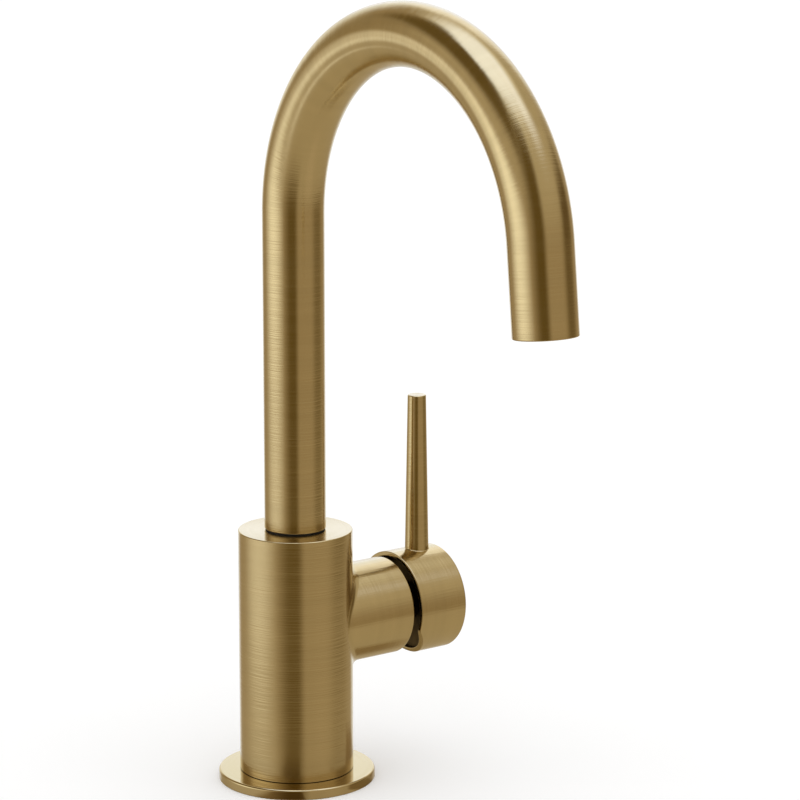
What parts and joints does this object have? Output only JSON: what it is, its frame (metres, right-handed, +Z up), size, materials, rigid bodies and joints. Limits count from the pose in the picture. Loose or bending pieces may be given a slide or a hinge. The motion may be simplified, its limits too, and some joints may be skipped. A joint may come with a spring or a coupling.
{
  "type": "gooseneck bar faucet",
  "caption": "Gooseneck bar faucet: swivelling arched spout on an upright round body, with a side lever that turns for temperature and tilts for flow.",
  "frame": {"origin": "on the body's axis at the top of the deck, under the base flange", "axes": "+Z up along the body's axis, +X towards the spout's outlet, +Y along the stub towards the handle"},
  "size_m": [0.1815, 0.092, 0.3406],
  "materials": {
    "champagne_gold": "brushed champagne gold plating with fine circumferential brush lines, satin",
    "raw_brass": "machined bare brass",
    "steel_hardware": "zinc-bright steel",
    "seal_rubber": "matt black rubber",
    "engineering_polymer": "off-white moulded acetal, fine matt",
    "black_polymer": "black moulded acetal, fine matt",
    "ceramic": "lapped alumina ceramic, smooth"
  },
  "bodies": {
    "faucet_body": {"base_flange": "champagne_gold", "deck_gasket": "seal_rubber", "base_seal": "seal_rubber", "body_shell": "champagne_gold", "waterway_core": "raw_brass", "hot_inlet_connector": "raw_brass", "cold_inlet_connector": "raw_brass", "hot_check_valve": "engineering_polymer", "cold_check_valve": "engineering_polymer", "hot_port_seal": "seal_rubber", "cold_port_seal": "seal_rubber", "outlet_port_seal": "seal_rubber", "cartridge_base": "engineering_polymer", "fixed_ceramic_disc": "ceramic", "cartridge_housing": "engineering_polymer", "cartridge_retaining_nut": "raw_brass", "bonnet_cover": "champagne_gold", "spout_guide_bush": "black_polymer", "spout_glide_washer": "black_polymer", "mounting_shank": "raw_brass", "friction_washer": "seal_rubber", "clamp_washer": "steel_hardware", "mounting_nut": "raw_brass", "clamp_screw_1": "steel_hardware", "clamp_screw_2": "steel_hardware"},
    "spout": {"spout_tube": "champagne_gold", "spout_spigot": "raw_brass", "spigot_ring_lower": "seal_rubber", "spigot_ring_upper": "seal_rubber", "spout_retaining_clip": "engineering_polymer", "outlet_bush": "raw_brass", "aerator_housing": "engineering_polymer", "aerator_screen": "engineering_polymer", "flow_regulator": "engineering_polymer", "aerator_gasket": "seal_rubber"},
    "temperature_rotor": {"cartridge_rotor": "engineering_polymer", "stem_pivot_pin": "steel_hardware"},
    "sliding_disc": {"sliding_ceramic_disc": "ceramic", "disc_carrier": "engineering_polymer"},
    "handle": {"cartridge_stem": "raw_brass", "handle_hub": "champagne_gold", "handle_lever": "champagne_gold", "hub_set_screw": "steel_hardware", "set_screw_plug": "champagne_gold"}
  },
  "joints": [
    {"name": "spout_swivel", "type": "hinge", "parent": "faucet_body", "child": "spout", "pos_m": [0, 0, 0.0939], "axis": [0, 0, 1], "continuous": true},
    {"name": "temperature", "type": "hinge", "parent": "faucet_body", "child": "temperature_rotor", "pos_m": [0, 0.0313, 0.0582], "axis": [0, 1, 0], "range_deg": [-45, 45]},
    {"name": "flow", "type": "hinge", "parent": "temperature_rotor", "child": "handle", "pos_m": [0, 0.0313, 0.0582], "axis": [-1, 0, 0], "range_deg": [0, 19]},
    {"name": "disc_slide", "type": "slide", "parent": "temperature_rotor", "child": "sliding_disc", "axis": [0, 0, 1], "range_m": [0, 0.0028]}
  ],
  "couplings": [
    {"joint": "disc_slide", "follows": "flow", "m_per_rad": 0.008}
  ]
}
